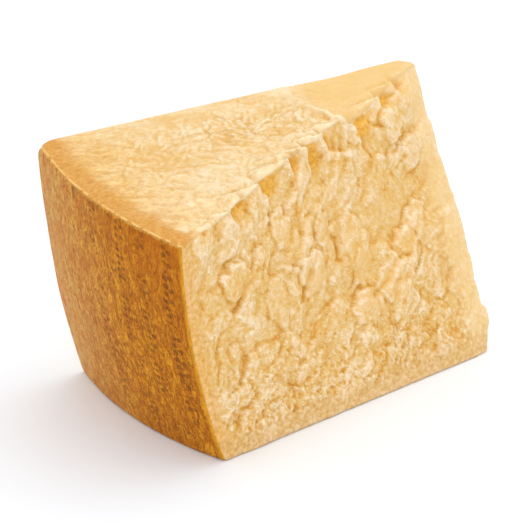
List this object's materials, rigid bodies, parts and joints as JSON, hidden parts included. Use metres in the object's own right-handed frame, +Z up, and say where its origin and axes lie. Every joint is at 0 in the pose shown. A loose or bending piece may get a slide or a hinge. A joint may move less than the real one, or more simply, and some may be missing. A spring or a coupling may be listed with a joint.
{
  "type": "hard cheese wedge",
  "caption": "Broken wedge of aged hard cheese: bowed orange-brown rind, flat cut top, craggy flaking sides narrowing to a tip",
  "frame": {"origin": "middle of the bounding box in plan, at the base the wedge rests on", "axes": "+X from the rind to the tip, +Y from the near broken side to the far one, +Z up"},
  "size_m": [0.176, 0.1026, 0.12],
  "materials": {
    "cheese_paste": "straw-yellow crumbly paste with a faint oily sheen; the rind is orange-brown"
  },
  "bodies": {
    "root": {"cheese_wedge": "cheese_paste"}
  },
  "joints": []
}
